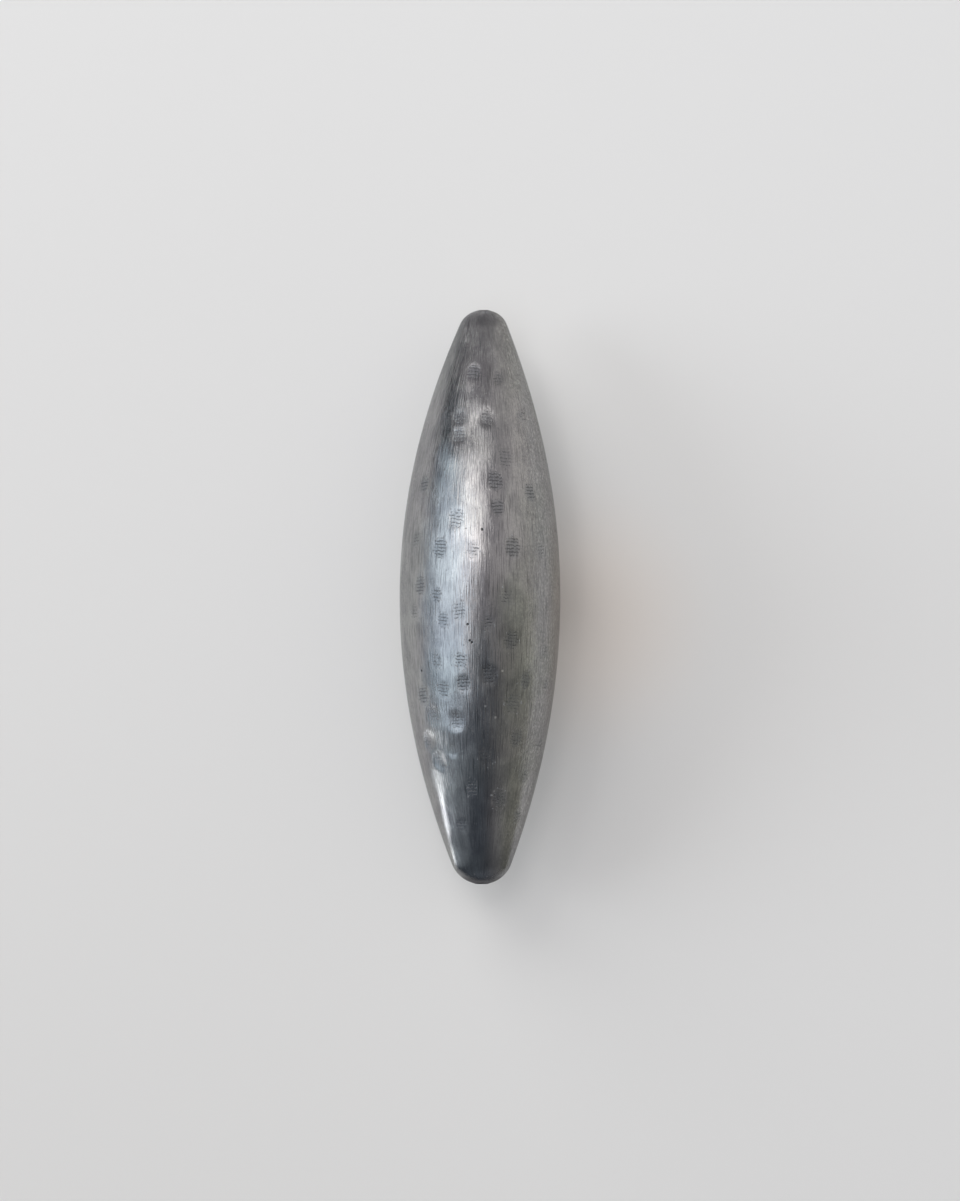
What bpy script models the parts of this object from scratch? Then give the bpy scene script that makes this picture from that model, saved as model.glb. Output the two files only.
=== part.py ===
"""A hammered cabinet knob: a domed spindle of cast metal on a turned brass stem, with its fixing screw.

Metres, +Z up. The knob stands on a door whose face is the plane Y = 0, and its front looks
towards -Y. The origin is the middle of the stem's foot, on the door. The spindle runs along Z,
with +Z towards its narrower end, and the fixing screw comes through the door from +Y.
"""

import math

import bmesh
import bpy
from mathutils import Matrix, Vector

# The spindle's outline, seen from the front
BODY_LENGTH = 0.100
BODY_WIDTH = 0.028
TOP_END_HALF_WIDTH = 0.0030
BOTTOM_END_HALF_WIDTH = 0.0038
TOP_END_ROUND = 0.0016
BOTTOM_END_ROUND = 0.0022
TOP_END_DRIFT = 0.0006
BOTTOM_END_DRIFT = 0.0003

# The spindle's depth, seen from the side
CROWN_DEPTH = 0.0150
END_CROWN_DEPTH = 0.0011
CROWN_POWER = 1.35
APEX_SOFTNESS = 0.12
CROWN_END_ROUND = 0.0030
BACK_EDGE_DEPTH = 0.0015
BACK_EDGE_WIDTH = 0.0020

# Hammer marks on the crown
MARK_LENGTH = 0.0040
MARK_WIDTH = 0.0030
MARK_DEPTH = 0.00022

# The stem
STANDOFF = 0.0075
FOOT_RADIUS = 0.0072
FOOT_THICKNESS = 0.0014
NECK_RADIUS = 0.0044
COVE_POWER = 2
SHOULDER_RADIUS = 0.0062
SHOULDER_THICKNESS = 0.0010
SPIGOT_RADIUS = 0.0040
BORE_SPARE_DEPTH = 0.0040
BORE_END_WALL = 0.0035
TURNED_CHAMFER = 0.0003

# The fixing screw
SCREW_RADIUS = 0.0020
SCREW_ENGAGEMENT = 0.0070
DOOR_THICKNESS = 0.0180
HEAD_RADIUS = 0.0040
HEAD_RIM_HEIGHT = 0.0009
HEAD_HEIGHT = 0.0025
RECESS_DEPTH = 0.0015
RECESS_WIDTH = 0.0010
RECESS_SPAN = 0.0042

# Clearances
SEAT_GAP = 0.0003
THREAD_GAP = 0.0003

# How finely the round shapes are divided
STATIONS_ALONG = 72
STATIONS_AT_END = 5
CROWN_SEGMENTS = 34
EDGE_SEGMENTS = 3
BACK_SEGMENTS = 2
TURNED_SEGMENTS = 36
COVE_STEPS = 8
DOME_STEPS = 5
END_FACE_SHARE = 0.30

# Places worked out from the sizes above
HALF_LENGTH = BODY_LENGTH / 2
HALF_WIDTH = BODY_WIDTH / 2
BACK_Y = -STANDOFF
WIDEST_Y = BACK_Y - BACK_EDGE_DEPTH
BORE_RADIUS = SCREW_RADIUS + THREAD_GAP
BORE_DEPTH = SCREW_ENGAGEMENT + BORE_SPARE_DEPTH
STEM_END_Y = -(BORE_DEPTH + BORE_END_WALL)

# Each hammer mark: its place across, as a share of the half width there, its place along, as a
# share of the half length, and its size beside a plain mark. They lie in rough columns, as the
# hammer walked down the crown.
HAMMER_MARKS = [
    (-0.20, 0.78, 1.0),
    (0.36, 0.76, 0.9),
    (-0.40, 0.62, 1.0),
    (0.10, 0.62, 1.1),
    (0.71, 0.63, 0.9),
    (-0.37, 0.56, 1.0),
    (0.37, 0.48, 1.2),
    (-0.79, 0.39, 1.0),
    (0.21, 0.40, 1.1),
    (0.68, 0.36, 1.1),
    (0.23, 0.31, 1.0),
    (-0.32, 0.27, 1.2),
    (-0.81, 0.20, 1.0),
    (-0.51, 0.17, 1.1),
    (0.41, 0.17, 1.2),
    (0.77, 0.16, 1.0),
    (-0.08, 0.16, 1.0),
    (-0.74, 0.04, 1.1),
    (-0.54, 0.01, 0.9),
    (0.33, 0.00, 1.0),
    (-0.25, -0.05, 1.1),
    (-0.46, -0.08, 0.9),
    (-0.81, -0.05, 0.9),
    (0.10, -0.09, 0.9),
    (0.39, -0.15, 1.2),
    (0.81, -0.19, 1.0),
    (-0.56, -0.22, 1.0),
    (-0.25, -0.22, 0.9),
    (0.12, -0.27, 1.2),
    (0.60, -0.29, 1.1),
    (-0.22, -0.30, 1.0),
    (0.87, -0.30, 0.9),
    (-0.49, -0.32, 1.0),
    (-0.77, -0.34, 1.1),
    (0.44, -0.37, 1.3),
    (-0.32, -0.43, 1.1),
    (-0.66, -0.41, 1.1),
    (0.54, -0.49, 1.1),
    (-0.81, -0.50, 1.0),
    (0.89, -0.51, 0.8),
    (-0.70, -0.56, 0.9),
    (0.10, -0.55, 1.2),
    (0.75, -0.62, 0.9),
    (-0.18, -0.66, 1.0),
    (0.35, -0.70, 1.1),
    (-0.42, -0.79, 0.9),
    (0.78, -0.76, 0.8),
]


def clear_scene():
    for old in list(bpy.data.objects):
        bpy.data.objects.remove(old)


def metal(name, color, roughness):
    material = bpy.data.materials.new(name)
    material.use_nodes = True
    shader = material.node_tree.nodes["Principled BSDF"]
    shader.inputs["Base Color"].default_value = (*color, 1.0)
    shader.inputs["Metallic"].default_value = 1.0
    shader.inputs["Roughness"].default_value = roughness
    material.diffuse_color = (*color, 1.0)
    return material


def add_object(name, shape, material=None):
    """Turn a bmesh into an object with its faces pointing out, smooth but for its sharp edges."""
    bmesh.ops.recalc_face_normals(shape, faces=shape.faces)
    mesh = bpy.data.meshes.new(name)
    shape.to_mesh(mesh)
    shape.free()
    mesh.shade_smooth()
    mesh.set_sharp_from_angle(angle=math.radians(35))
    if material:
        mesh.materials.append(material)
    made = bpy.data.objects.new(name, mesh)
    bpy.context.collection.objects.link(made)
    return made


def add_cutter(name, shape):
    cutter = add_object(name, shape)
    cutter.hide_render = True
    cutter.display_type = "WIRE"
    return cutter


def cut(target, cutter):
    boolean = target.modifiers.new("Cut by " + cutter.name, "BOOLEAN")
    boolean.operation = "DIFFERENCE"
    boolean.solver = "EXACT"
    boolean.object = cutter


def bridge_rings(shape, rings):
    """Join each ring of points to the next with quads, and close both ends with a face."""
    loops = [[shape.verts.new(point) for point in ring] for ring in rings]
    count = len(loops[0])
    for lower, upper in zip(loops, loops[1:]):
        for i in range(count):
            j = (i + 1) % count
            shape.faces.new((lower[i], lower[j], upper[j], upper[i]))
    shape.faces.new(loops[0])
    shape.faces.new(loops[-1])


def turned(profile):
    """Spin a profile of (radius, y) points round the Y axis into a closed shape."""
    shape = bmesh.new()
    points = [shape.verts.new((radius, y, 0)) for radius, y in profile]
    edges = [shape.edges.new(pair) for pair in zip(points, points[1:])]
    bmesh.ops.spin(
        shape,
        geom=points + edges,
        axis=(0, 1, 0),
        cent=(0, 0, 0),
        angle=math.tau,
        steps=TURNED_SEGMENTS,
        use_merge=True,
    )
    bmesh.ops.remove_doubles(shape, verts=shape.verts, dist=1e-6)
    return shape


def round_off(distance, radius):
    """How much of its size a section keeps at this distance from a rounded end."""
    if distance >= radius:
        return 1.0
    full = math.sqrt(1 - (1 - max(distance, 0) / radius) ** 2)
    return max(full, END_FACE_SHARE)


def crown_fall(along):
    """How far the crown has fallen from its middle, 0, towards its ends, 1."""
    level = APEX_SOFTNESS**CROWN_POWER
    here = math.hypot(along, APEX_SOFTNESS) ** CROWN_POWER
    end = math.hypot(1, APEX_SOFTNESS) ** CROWN_POWER
    return (here - level) / (end - level)


def section_sizes(z):
    """The section at a height: its middle in X, half width, crown depth and back edge depth."""
    along = abs(z) / HALF_LENGTH
    upper = z >= 0
    end_half_width = TOP_END_HALF_WIDTH if upper else BOTTOM_END_HALF_WIDTH
    end_round = TOP_END_ROUND if upper else BOTTOM_END_ROUND
    drift = TOP_END_DRIFT if upper else BOTTOM_END_DRIFT
    from_end = HALF_LENGTH - abs(z)
    half_width = HALF_WIDTH + (end_half_width - HALF_WIDTH) * along**2
    crown = CROWN_DEPTH + (END_CROWN_DEPTH - CROWN_DEPTH) * crown_fall(along)
    side_share = round_off(from_end, end_round)
    return (
        drift * along**2,
        half_width * side_share,
        crown * round_off(from_end, CROWN_END_ROUND),
        BACK_EDGE_DEPTH * side_share,
    )


def section_ring(z):
    """The points of one section: the crown from +X over the front to -X, then the flat back."""
    middle, half_width, crown, edge_depth = section_sizes(z)
    edge_width = min(BACK_EDGE_WIDTH, half_width / 2)
    flat_half = half_width - edge_width
    ring = []
    for i in range(CROWN_SEGMENTS):
        turn = math.pi * i / CROWN_SEGMENTS
        ring.append((middle + half_width * math.cos(turn), WIDEST_Y - crown * math.sin(turn)))
    for i in range(EDGE_SEGMENTS):
        turn = math.pi / 2 * i / EDGE_SEGMENTS
        across = flat_half + edge_width * math.cos(turn)
        ring.append((middle - across, WIDEST_Y + edge_depth * math.sin(turn)))
    for i in range(BACK_SEGMENTS):
        across = flat_half * (1 - 2 * i / BACK_SEGMENTS)
        ring.append((middle - across, WIDEST_Y + edge_depth))
    for i in range(EDGE_SEGMENTS):
        turn = math.pi / 2 * (1 - i / EDGE_SEGMENTS)
        across = flat_half + edge_width * math.cos(turn)
        ring.append((middle + across, WIDEST_Y + edge_depth * math.sin(turn)))
    return [Vector((x, y, z)) for x, y in ring]


def station_heights():
    """Heights of the sections: close together on the rounded ends, even along the rest."""
    end_steps = [
        CROWN_END_ROUND * (1 - math.cos(math.pi / 2 * i / STATIONS_AT_END))
        for i in range(STATIONS_AT_END)
    ]
    straight = BODY_LENGTH - 2 * CROWN_END_ROUND
    middle_steps = [
        CROWN_END_ROUND + straight * i / STATIONS_ALONG for i in range(STATIONS_ALONG + 1)
    ]
    top_steps = [BODY_LENGTH - step for step in reversed(end_steps)]
    return [step - HALF_LENGTH for step in end_steps + middle_steps + top_steps]


def crown_point(across, along):
    """The point on the crown at these shares of the half width and the half length."""
    z = along * HALF_LENGTH
    middle, half_width, crown, _ = section_sizes(z)
    y = WIDEST_Y - crown * math.sqrt(1 - across**2)
    return Vector((middle + half_width * across, y, z))


def strike_marks(shape):
    """Press every hammer mark into the crown as a shallow oval hollow."""
    shape.normal_update()
    normals = {vert: vert.normal.copy() for vert in shape.verts}
    sunk = {vert: 0.0 for vert in shape.verts}
    for across, along, size in HAMMER_MARKS:
        centre = crown_point(across, along)
        for vert in shape.verts:
            offset = vert.co - centre
            lengthwise = offset.z / (MARK_LENGTH / 2 * size)
            sideways = math.hypot(offset.x, offset.y) / (MARK_WIDTH / 2 * size)
            reach = lengthwise**2 + sideways**2
            if reach < 1 and vert.co.y < WIDEST_Y:
                sunk[vert] = max(sunk[vert], MARK_DEPTH * size * (1 - reach))
    for vert, depth in sunk.items():
        vert.co -= normals[vert] * depth


def knob_body(material):
    shape = bmesh.new()
    bridge_rings(shape, [section_ring(z) for z in station_heights()])
    bmesh.ops.recalc_face_normals(shape, faces=shape.faces)
    strike_marks(shape)
    body = add_object("knob_body", shape, material)
    socket_end = STEM_END_Y - SEAT_GAP
    socket_length = BACK_Y - socket_end
    socket = bmesh.new()
    bmesh.ops.create_cone(
        socket,
        cap_ends=True,
        segments=TURNED_SEGMENTS,
        radius1=SPIGOT_RADIUS + THREAD_GAP,
        radius2=SPIGOT_RADIUS + THREAD_GAP,
        depth=2 * socket_length,
        matrix=Matrix.Translation((0, BACK_Y, 0)) @ Matrix.Rotation(math.pi / 2, 4, "X"),
    )
    cut(body, add_cutter("socket_cutter", socket))
    return body


def stem(material):
    """The brass stem: foot on the door, waisted neck, shoulder under the body, and spigot."""
    shoulder_front = BACK_Y + SEAT_GAP
    shoulder_back = shoulder_front + SHOULDER_THICKNESS
    waist_length = -FOOT_THICKNESS - shoulder_back
    cone_depth = BORE_RADIUS / 2
    profile = [
        (0, -BORE_DEPTH - cone_depth),
        (BORE_RADIUS, -BORE_DEPTH),
        (BORE_RADIUS, -TURNED_CHAMFER),
        (BORE_RADIUS + TURNED_CHAMFER, 0),
        (FOOT_RADIUS - TURNED_CHAMFER, 0),
        (FOOT_RADIUS, -TURNED_CHAMFER),
        (FOOT_RADIUS, -FOOT_THICKNESS + TURNED_CHAMFER),
        (FOOT_RADIUS - TURNED_CHAMFER, -FOOT_THICKNESS),
    ]
    middle_share = 1 / 2
    foot_reach = FOOT_RADIUS - 2 * TURNED_CHAMFER - NECK_RADIUS
    shoulder_reach = SHOULDER_RADIUS - 2 * TURNED_CHAMFER - NECK_RADIUS
    for i in range(COVE_STEPS + 1):
        share = i / COVE_STEPS
        before_middle = max(0, middle_share - share) / middle_share
        after_middle = max(0, share - middle_share) / middle_share
        from_foot = foot_reach * before_middle**COVE_POWER
        from_shoulder = shoulder_reach * after_middle**COVE_POWER
        y = -FOOT_THICKNESS - waist_length * (1 - math.cos(math.pi * share)) / 2
        profile.append((NECK_RADIUS + from_foot + from_shoulder, y))
    profile += [
        (SHOULDER_RADIUS - TURNED_CHAMFER, shoulder_back),
        (SHOULDER_RADIUS, shoulder_back - TURNED_CHAMFER),
        (SHOULDER_RADIUS, shoulder_front + TURNED_CHAMFER),
        (SHOULDER_RADIUS - TURNED_CHAMFER, shoulder_front),
        (SPIGOT_RADIUS, shoulder_front),
        (SPIGOT_RADIUS, STEM_END_Y + TURNED_CHAMFER),
        (SPIGOT_RADIUS - TURNED_CHAMFER, STEM_END_Y),
        (0, STEM_END_Y),
    ]
    return add_object("stem", turned(profile), material)


def fixing_screw(material):
    """The screw: shank from the stem's bore back through the door, pan head with a cross recess."""
    head_y = DOOR_THICKNESS
    profile = [
        (0, -SCREW_ENGAGEMENT),
        (SCREW_RADIUS - 2 * TURNED_CHAMFER, -SCREW_ENGAGEMENT),
        (SCREW_RADIUS, -SCREW_ENGAGEMENT + 2 * TURNED_CHAMFER),
        (SCREW_RADIUS, head_y),
        (HEAD_RADIUS - TURNED_CHAMFER, head_y),
        (HEAD_RADIUS, head_y + TURNED_CHAMFER),
        (HEAD_RADIUS, head_y + HEAD_RIM_HEIGHT),
    ]
    dome_height = HEAD_HEIGHT - HEAD_RIM_HEIGHT
    for i in range(1, DOME_STEPS + 1):
        turn = math.pi / 2 * i / DOME_STEPS
        y = head_y + HEAD_RIM_HEIGHT + dome_height * math.sin(turn)
        profile.append((HEAD_RADIUS * math.cos(turn), y))
    profile[-1] = (0, head_y + HEAD_HEIGHT)
    screw = add_object("fixing_screw", turned(profile), material)
    for turn in (0, math.pi / 2):
        slot = bmesh.new()
        placed = Matrix.Translation((0, head_y + HEAD_HEIGHT, 0)) @ Matrix.Rotation(turn, 4, "Y")
        sized = Matrix.Diagonal((RECESS_SPAN, 2 * RECESS_DEPTH, RECESS_WIDTH, 1))
        bmesh.ops.create_cube(slot, size=1, matrix=placed @ sized)
        name = "recess_cutter_across" if turn else "recess_cutter_along"
        cut(screw, add_cutter(name, slot))
    return screw


def main():
    clear_scene()
    knob_body(metal("hammered_iron", (0.40, 0.41, 0.41), 0.30))
    stem(metal("turned_brass", (0.80, 0.58, 0.26), 0.25))
    fixing_screw(metal("zinc_plated_steel", (0.56, 0.57, 0.58), 0.30))


main()
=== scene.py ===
import math

import bmesh
import bpy
import numpy as np
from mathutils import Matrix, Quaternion, Vector, noise


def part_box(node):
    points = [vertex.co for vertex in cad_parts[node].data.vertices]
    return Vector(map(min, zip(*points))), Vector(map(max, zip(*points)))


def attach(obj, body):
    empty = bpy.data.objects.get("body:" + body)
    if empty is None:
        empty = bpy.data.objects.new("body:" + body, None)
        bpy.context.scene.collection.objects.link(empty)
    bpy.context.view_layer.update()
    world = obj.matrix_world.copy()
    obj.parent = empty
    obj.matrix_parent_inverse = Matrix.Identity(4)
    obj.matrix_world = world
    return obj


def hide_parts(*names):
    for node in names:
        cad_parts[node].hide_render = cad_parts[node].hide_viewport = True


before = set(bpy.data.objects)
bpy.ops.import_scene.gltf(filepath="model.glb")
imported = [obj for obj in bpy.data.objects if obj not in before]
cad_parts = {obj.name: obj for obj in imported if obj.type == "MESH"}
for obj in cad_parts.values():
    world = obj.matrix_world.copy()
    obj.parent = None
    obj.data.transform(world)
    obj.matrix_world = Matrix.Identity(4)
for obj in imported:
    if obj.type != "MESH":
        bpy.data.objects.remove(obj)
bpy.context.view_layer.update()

# The looks of a hammered cabinet knob: a brushed and hammered spindle, its brass stem and its screw.
# Metres, +Z up along the spindle, front towards -Y, and the door's face is the plane Y = 0.
MM = 0.001

# Lengths too short to see: one for telling points apart, one for welding them
NEARLY = 0.001 * MM
WELD = 0.002 * MM

# The spindle's sizes: those of the solid that it stands for, with slightly fuller ends
HALF_LENGTH = 50.0 * MM
HALF_WIDTH = 14.0 * MM
TOP_END_HALF_WIDTH = 3.0 * MM
BOTTOM_END_HALF_WIDTH = 3.8 * MM
TOP_END_ROUND = 2.4 * MM
BOTTOM_END_ROUND = 3.5 * MM
END_FULLNESS = 2.4
END_INSET = 0.12 * MM
TOP_END_DRIFT = 0.65 * MM
BOTTOM_END_DRIFT = 0.3 * MM
CROWN_DEPTH = 15.0 * MM
END_CROWN_DEPTH = 1.1 * MM
CROWN_POWER = 1.35
APEX_SOFTNESS = 0.12
CROWN_END_ROUND = 3.0 * MM
END_FACE_SHARE = 0.3
BACK_EDGE_DEPTH = 1.5 * MM
BACK_EDGE_WIDTH = 2.0 * MM
FRONT_BLEND = 1.5 * MM
BACK_Y = -7.5 * MM
WIDEST_Y = BACK_Y - BACK_EDGE_DEPTH
SOCKET_RADIUS = 4.3 * MM
SOCKET_END_Y = -14.8 * MM
SOCKET_SEGMENTS = 64

# The hammer marks
MARK_LENGTH = 3.7 * MM
MARK_WIDTH = 2.8 * MM
MARK_DEPTH = 0.045 * MM
HATCH_PITCH = 0.57 * MM
HATCH_TILT = math.radians(7)
MARK_SQUARENESS = 2.5

# From each mark to the next, its hatching leans by another angle and starts a share of a ridge on
LEAN_STEP = 2.4
LEAN_START = 0.6
RIDGE_STEP = 0.4

# Each mark: its place across and along, as shares of the half width and the half length, its size
# beside a plain mark, and how plainly its ridges show
HAMMER_MARKS = [
    (-0.20, 0.78, 1.0, 0.8), (0.36, 0.76, 0.9, 0.45), (-0.40, 0.62, 1.0, 0.45),
    (0.10, 0.62, 1.1, 0.45), (0.71, 0.63, 0.9, 0.45), (-0.37, 0.56, 1.0, 0.45),
    (0.37, 0.48, 1.2, 0.45), (-0.79, 0.39, 1.0, 0.7), (0.21, 0.40, 1.1, 0.95),
    (0.68, 0.36, 1.1, 0.75), (0.23, 0.31, 1.0, 0.85), (-0.32, 0.27, 1.2, 0.5),
    (-0.81, 0.20, 1.0, 0.45), (-0.51, 0.17, 1.1, 1.0), (0.41, 0.17, 1.2, 0.85),
    (0.77, 0.16, 1.0, 0.45), (-0.08, 0.16, 1.0, 0.45), (-0.74, 0.04, 1.1, 0.8),
    (-0.54, 0.01, 0.9, 0.8), (0.33, 0.00, 1.0, 0.45), (-0.25, -0.05, 1.1, 0.6),
    (-0.46, -0.08, 0.9, 0.75), (-0.81, -0.05, 0.9, 0.45), (0.10, -0.09, 0.9, 0.45),
    (0.39, -0.15, 1.2, 0.7), (0.81, -0.19, 1.0, 0.45), (-0.56, -0.22, 1.0, 0.5),
    (-0.25, -0.22, 0.9, 0.65), (0.12, -0.27, 1.2, 0.6), (0.60, -0.29, 1.1, 0.6),
    (-0.22, -0.30, 1.0, 0.6), (0.87, -0.30, 0.9, 0.45), (-0.49, -0.32, 1.0, 0.6),
    (-0.77, -0.34, 1.1, 0.7), (0.44, -0.37, 1.3, 0.6), (-0.32, -0.43, 1.0, 0.5),
    (-0.66, -0.41, 1.1, 0.45), (0.54, -0.49, 1.1, 0.7), (-0.81, -0.50, 1.0, 0.45),
    (0.89, -0.51, 0.8, 0.45), (-0.70, -0.56, 0.9, 0.45), (0.10, -0.55, 1.2, 0.45),
    (0.75, -0.62, 0.9, 0.45), (-0.18, -0.66, 1.0, 0.45), (0.35, -0.70, 1.1, 0.7),
    (-0.42, -0.79, 0.9, 0.45), (0.78, -0.76, 0.8, 0.45),
]

# Deeper dents without a pattern: place across and along, size, and depth in millimetres
DEEP_DENTS = [
    (-0.77, -0.50, 1.1, 0.11), (-0.66, -0.57, 1.0, 0.11), (-0.36, -0.43, 1.2, 0.06),
    (0.46, -0.37, 1.5, 0.09), (0.12, -0.27, 1.2, 0.03), (0.52, -0.15, 1.3, 0.05),
    (-0.44, -0.53, 0.8, 0.06), (0.62, -0.62, 1.1, 0.06), (0.10, 0.62, 1.1, 0.025),
]

# Small dark pits and bright specks in the metal, by their places across and along
DARK_PITS = [
    (0.026, 0.233), (-0.150, -0.094), (-0.126, -0.150), (-0.101, -0.156), (-0.757, -0.254),
]
BRIGHT_SPECKS = [(0.213, -0.415), (0.069, -0.376), (0.287, -0.254)]
SPOT_RADIUS = 0.28 * MM

# The metal's patterns: how large their patches are, across and along
FINE_LINES = (0.2 * MM, 4.5 * MM)
BROAD_LINES = (0.5 * MM, 10 * MM)
GRAIN = (0.35 * MM, 0.5 * MM)
GRIT = (0.36 * MM, 0.45 * MM)
RIDGE_BREAKS = (0.9 * MM, 0.45 * MM)
MOTTLE = (3.5 * MM, 6 * MM)
TINT = (7 * MM, 12 * MM)

# The heights of the metal's fine relief, in millimetres
FINE_LINE_HEIGHT = 0.044
BROAD_LINE_HEIGHT = 0.026
GRAIN_HEIGHT = 0.004
SANDY_GRAIN_HEIGHT = 0.014
RIDGE_HEIGHT = 0.022
PIT_DEPTH = 0.05

# Where the metal's parts begin and where they have their full strength. The first four are
# distances round the body, + to the right, and the last three are heights.
SANDY_RIGHT = (3 * MM, 15 * MM)
SANDY_LEFT = (-12 * MM, -19 * MM)
# Painted shade: the body's right side darker and greener, as where it mirrors the shadowed door
SHADED_GREEN_SIDE = (2 * MM, 18 * MM)
LOW_SHADE_SIDE = (-4 * MM, 3 * MM)
LOW_TIP = (-28 * MM, -36 * MM)
LOW_SHADE_HEIGHT = (-40 * MM, -46 * MM)
END_SHADE_HEIGHT = (-48.2 * MM, -49.4 * MM)

# How the spindle's surface strays from its smooth form
SWELL_HEIGHT = 0.07 * MM
SWELL_ACROSS = 3.6 * MM
SWELL_ALONG = 5.0 * MM

# Brush lines keep the spacing that they have at this distance from the spindle's axis
BRUSH_RADIUS = 13.0 * MM

# How finely the spindle is made, and how far its closer sections reach from each end
END_REACH = 3.6 * MM
RING_POINTS = 56
STATIONS_BETWEEN_ENDS = 60
STATIONS_AT_END = 9
SMOOTHING_LEVELS = 2

# The stem
BORE_RADIUS = 2.3 * MM
BORE_SIDE_END_Y = -11.0 * MM
BORE_POINT_Y = -12.15 * MM
FOOT_RADIUS = 7.2 * MM
FOOT_THICKNESS = 1.4 * MM
NECK_RADIUS = 4.4 * MM
WAIST_STEP = 0.6 * MM
SHOULDER_RADIUS = 6.2 * MM
SHOULDER_Y = -6.2 * MM
SPIGOT_RADIUS = 4.0 * MM
SPIGOT_END_Y = -14.5 * MM
SOFT_EDGE = 0.3 * MM
STEM_SEGMENTS = 96

# The brass: its rings' scale, fine along the stem and slow across it, and its tarnish's patches
RING_SCALE = (150, 9000, 150)
RING_HEIGHT = 0.004
TARNISH = (3 * MM, 3 * MM)

# The screw
SCREW_RADIUS = 2.0 * MM
SCREW_TIP_Y = -7.0 * MM
SCREW_LEAD = 0.6 * MM
SCREW_SEGMENTS = 48
THREAD_PITCH = 0.7 * MM
THREAD_DEPTH = 0.38 * MM
THREAD_END_Y = 15.6 * MM
THREAD_STEEPNESS = 1.3
THREAD_CREST_FLAT = 0.15
ROWS_PER_TURN = 8
HEAD_Y = 18.0 * MM
HEAD_RADIUS = 4.0 * MM
HEAD_RIM = 0.9 * MM
HEAD_HEIGHT = 2.44 * MM
HEAD_EDGE = 0.15 * MM
DOME_STEPS = 12
RECESS_WIDTH = 1.0 * MM
RECESS_SPAN = 4.2 * MM
RECESS_DEPTH = 1.5 * MM
RECESS_WIDTH_SHARE = 0.7
RECESS_SPAN_SHARE = 0.55
ZINC_GRAIN = (0.5 * MM, 0.5 * MM)
ZINC_BLOOM = (2.5 * MM, 2.5 * MM)

# The backdrop
DOOR_HALF_WIDTH = 1.6
DOOR_TOP = 1.3
DOOR_FOOT = -1.6
FLOOR_REACH = 0.32
SWEEP_RADIUS = 0.2
SWEEP_SEGMENTS = 12

# The warm light off the stem, painted on the door beside the body
GLOW_PLACE = (17 * MM, 0, -4 * MM)
GLOW_RADIUS = 28 * MM
GLOW_CORE = 4 * MM

# The lamps, apart from those given another distance, and the tone of the world where it is seen
LAMP_DISTANCE = 1.0
SEEN_TONE = 0.70

# The picture: its rows of pixels, and where the body lies in it
PHOTO_HEIGHT = 1201
BODY_MIDDLE_ROW = 597
BODY_PIXELS = 574
METRES_PER_PIXEL = 2 * HALF_LENGTH / BODY_PIXELS
CAMERA_DISTANCE = 1.0
CLIP_START = 0.01
SENSOR = 36.0


def deselect_all():
    """Leave edit mode and select nothing."""
    if bpy.context.mode != "OBJECT":
        bpy.ops.object.mode_set(mode="OBJECT")
    bpy.ops.object.select_all(action="DESELECT")


def name_piece(name):
    """Name the primitive that was added last, and its mesh."""
    piece = bpy.context.object
    piece.name = name
    piece.data.name = name
    return piece


def settle_place(piece):
    """Put the piece's place into its mesh, so that its object sits at the origin, unturned."""
    deselect_all()
    piece.select_set(True)
    bpy.context.view_layer.objects.active = piece
    bpy.ops.object.transform_apply(location=True, rotation=True, scale=True)


def apply_modifier(piece, kind, **settings):
    """Give the piece a modifier with these settings and apply it."""
    deselect_all()
    piece.select_set(True)
    bpy.context.view_layer.objects.active = piece
    modifier = piece.modifiers.new(kind.title(), kind)
    for key, value in settings.items():
        setattr(modifier, key, value)
    bpy.ops.object.modifier_apply(modifier=modifier.name)


def select_points(piece, wanted):
    """In edit mode, select just the points whose place answers the test."""
    bpy.ops.mesh.select_all(action="DESELECT")
    shape = bmesh.from_edit_mesh(piece.data)
    for point in shape.verts:
        if wanted(point.co):
            point.select = True
    shape.select_flush(True)
    bmesh.update_edit_mesh(piece.data)


def round_off(distance, radius, power=2.0):
    """How much of its size a section keeps at this distance from a rounded end."""
    if distance >= radius:
        return 1.0
    return max(END_FACE_SHARE, (1 - (1 - max(distance, 0) / radius) ** power) ** (1 / power))


def crown_fall(along):
    """How far the crown has fallen from its middle, 0, towards its ends, 1."""
    level = APEX_SOFTNESS**CROWN_POWER
    here = math.hypot(along, APEX_SOFTNESS) ** CROWN_POWER
    end = math.hypot(1, APEX_SOFTNESS) ** CROWN_POWER
    return (here - level) / (end - level)


def section_sizes(z):
    """The section at a height: its middle in X, half width, crown depth and back edge depth."""
    along = abs(z) / HALF_LENGTH
    upper = z >= 0
    end_half_width = TOP_END_HALF_WIDTH if upper else BOTTOM_END_HALF_WIDTH
    drift = TOP_END_DRIFT if upper else BOTTOM_END_DRIFT
    from_end = HALF_LENGTH - abs(z)
    side_share = round_off(from_end, TOP_END_ROUND if upper else BOTTOM_END_ROUND, END_FULLNESS)
    half_width = HALF_WIDTH + (end_half_width - HALF_WIDTH) * along**2
    crown = CROWN_DEPTH + (END_CROWN_DEPTH - CROWN_DEPTH) * crown_fall(along)
    return (
        drift * along**2,
        half_width * side_share,
        crown * round_off(from_end, CROWN_END_ROUND),
        BACK_EDGE_DEPTH * side_share,
    )


def station_heights():
    """Heights of the sections: close together on the rounded ends, even along the rest."""
    end_steps = [
        END_REACH * (1 - math.cos(math.pi / 2 * i / STATIONS_AT_END))
        for i in range(STATIONS_AT_END)
    ]
    straight = 2 * (HALF_LENGTH - END_REACH)
    middle_steps = [
        END_REACH + straight * i / STATIONS_BETWEEN_ENDS
        for i in range(STATIONS_BETWEEN_ENDS + 1)
    ]
    top_steps = [2 * HALF_LENGTH - step for step in reversed(end_steps)]
    return [step - HALF_LENGTH for step in end_steps + middle_steps + top_steps]


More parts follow.
